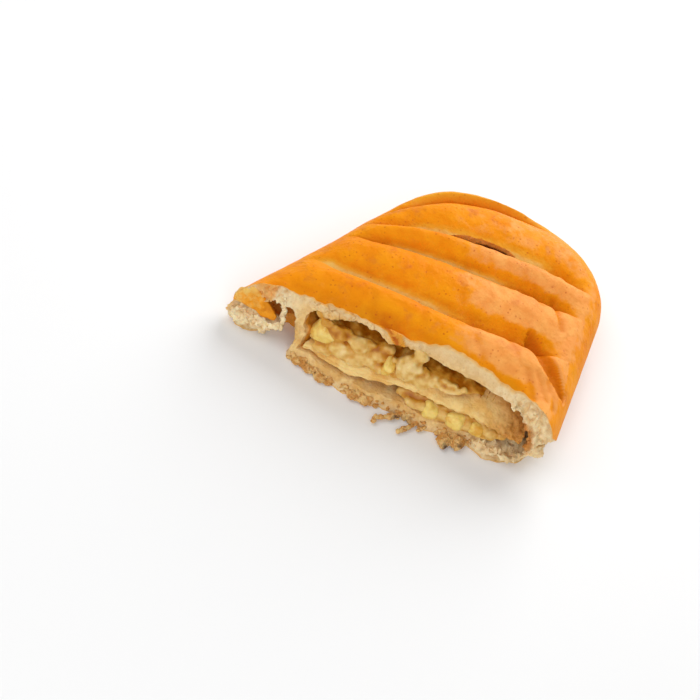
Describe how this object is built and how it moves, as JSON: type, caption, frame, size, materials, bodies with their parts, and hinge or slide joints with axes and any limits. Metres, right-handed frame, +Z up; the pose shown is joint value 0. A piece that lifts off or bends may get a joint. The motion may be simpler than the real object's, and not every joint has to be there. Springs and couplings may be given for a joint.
{
  "type": "apple strudel",
  "caption": "Torn half of a soft-dough strudel: rounded end, slashed golden crust, open torn face showing rolled dough and fruit filling.",
  "frame": {"origin": "middle of the bounding box at the flat underside the half rests on", "axes": "+X along the torn face, to the right when looking at it; +Y from the torn face towards the rounded end; +Z up"},
  "size_m": [0.14, 0.1246, 0.037],
  "materials": {
    "crust": "glossy egg-washed crust",
    "crumb": "matte moist crumb",
    "filling": "glossy thick syrup",
    "apple": "moist cooked fruit"
  },
  "bodies": {
    "root": {"dough": "crust", "inner_dough_sheet": "crumb", "filling_upper": "filling", "filling_lower": "filling", "apple_die_1": "apple", "apple_die_2": "apple", "apple_die_3": "apple", "apple_die_4": "apple", "apple_die_5": "apple"}
  },
  "joints": []
}
